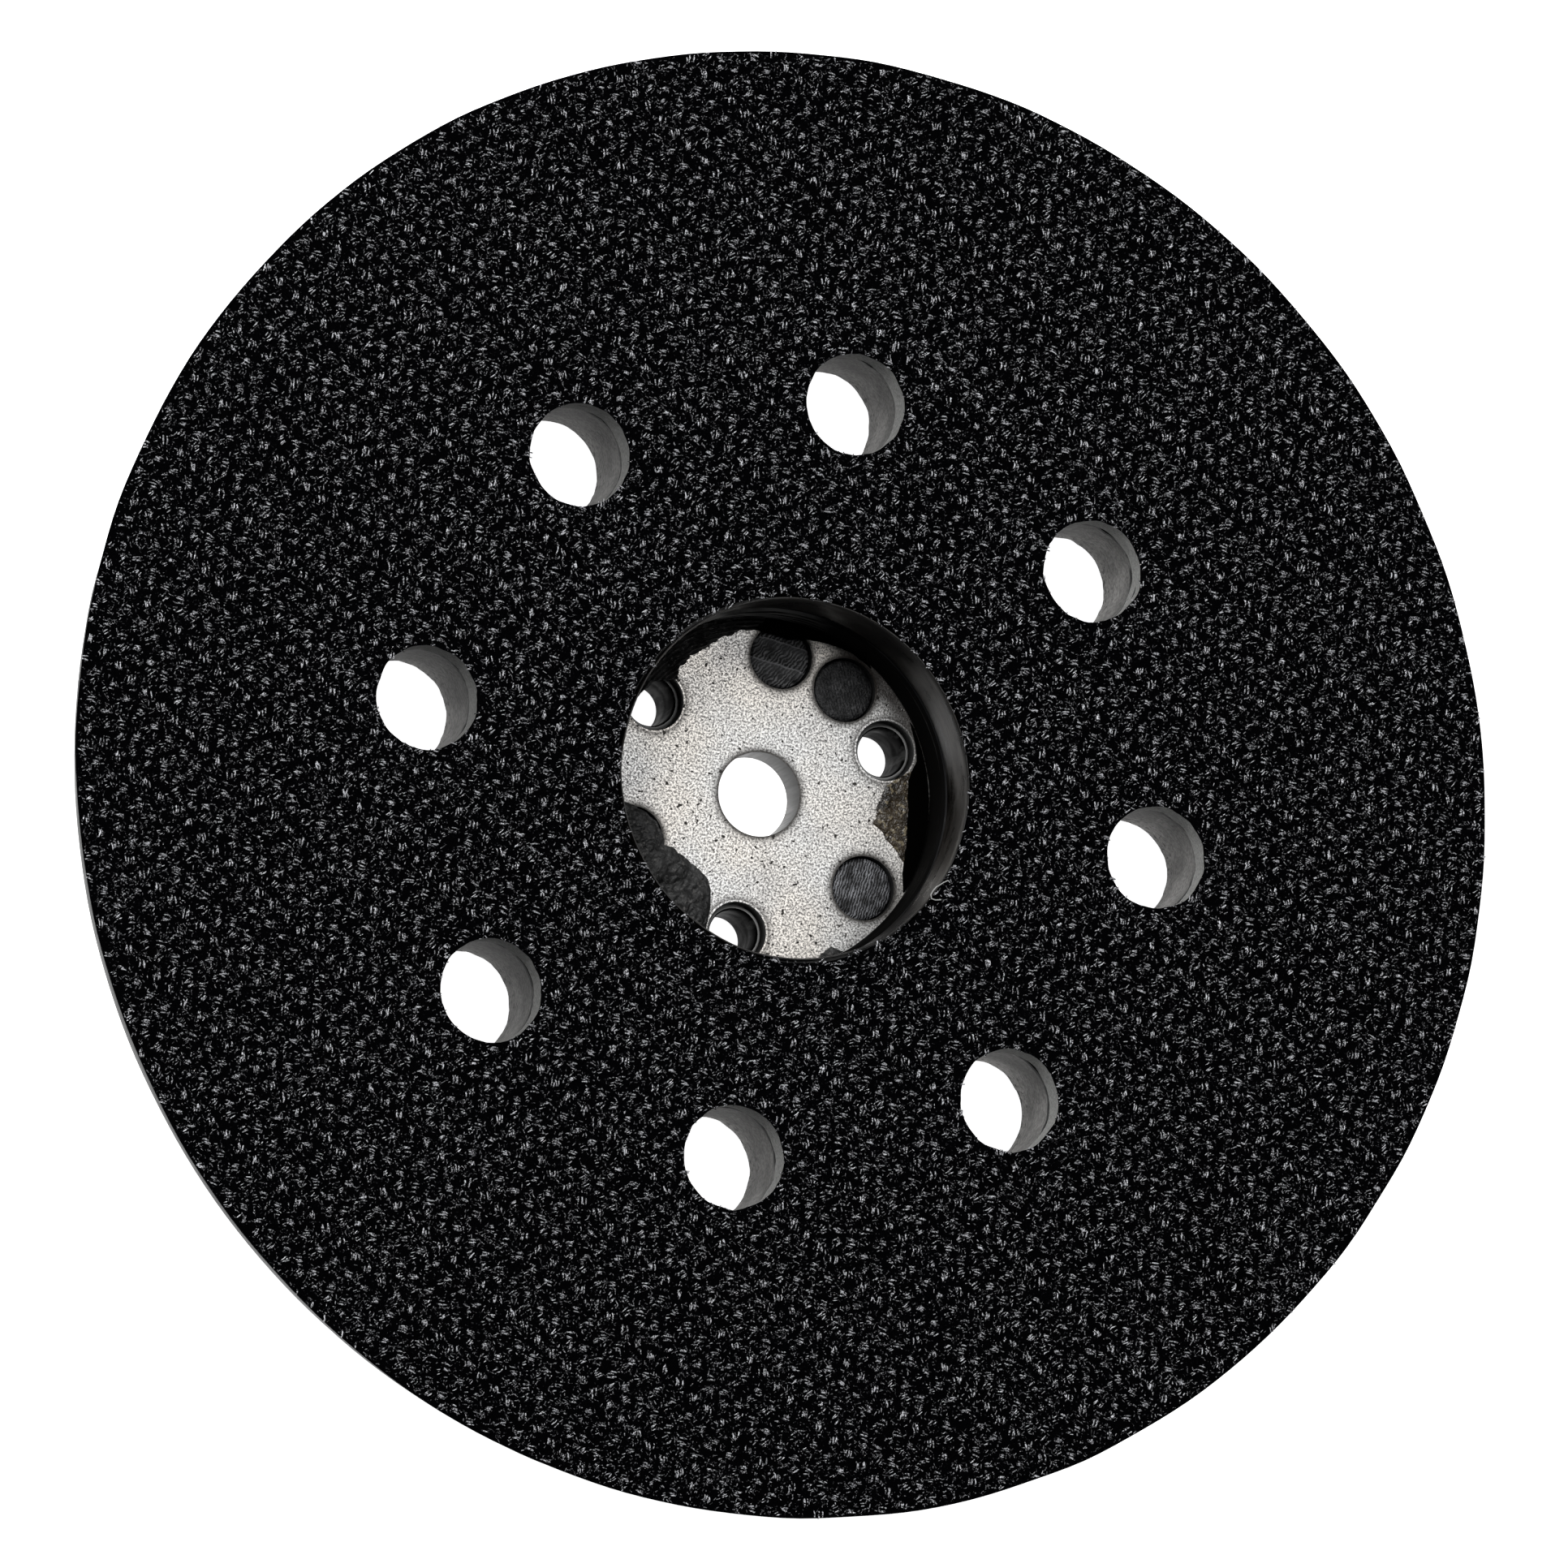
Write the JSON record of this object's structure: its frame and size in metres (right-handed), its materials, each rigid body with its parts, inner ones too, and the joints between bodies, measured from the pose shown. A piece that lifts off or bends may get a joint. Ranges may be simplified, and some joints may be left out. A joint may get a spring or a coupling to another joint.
{
  "type": "orbital sander backing pad",
  "caption": "Round hook-and-loop backing pad of a random-orbit sander: foam disc with a ring of dust holes and a steel centre plate in a moulded hub.",
  "frame": {"origin": "centre of the mounting hub's back face", "axes": "+Z out of the hook face, +X through the middle of a dust hole; the first screw hole is 30 degrees from +X towards +Y"},
  "size_m": [0.124, 0.124, 0.0164],
  "materials": {
    "hook_fabric": "dense black nylon hooks, sparkling",
    "backing": "pale felted laminate",
    "foam": "cut grey polyurethane foam with a dark moulded skin",
    "moulding": "black, satin to glossy",
    "steel": "blasted, pitted",
    "filler": "dull black with flow ripples"
  },
  "bodies": {
    "root": {"hook_sheet": "hook_fabric", "hook_backing": "backing", "foam_cushion": "foam", "recess_collar": "moulding", "drive_hub": "moulding", "centre_plate": "steel", "screw_sleeve_1": "moulding", "screw_sleeve_2": "moulding", "screw_sleeve_3": "moulding", "filler_plug_1": "filler", "filler_plug_2": "filler", "filler_plug_3": "filler", "filler_plug_4": "filler", "filler_plug_5": "filler"}
  },
  "joints": []
}
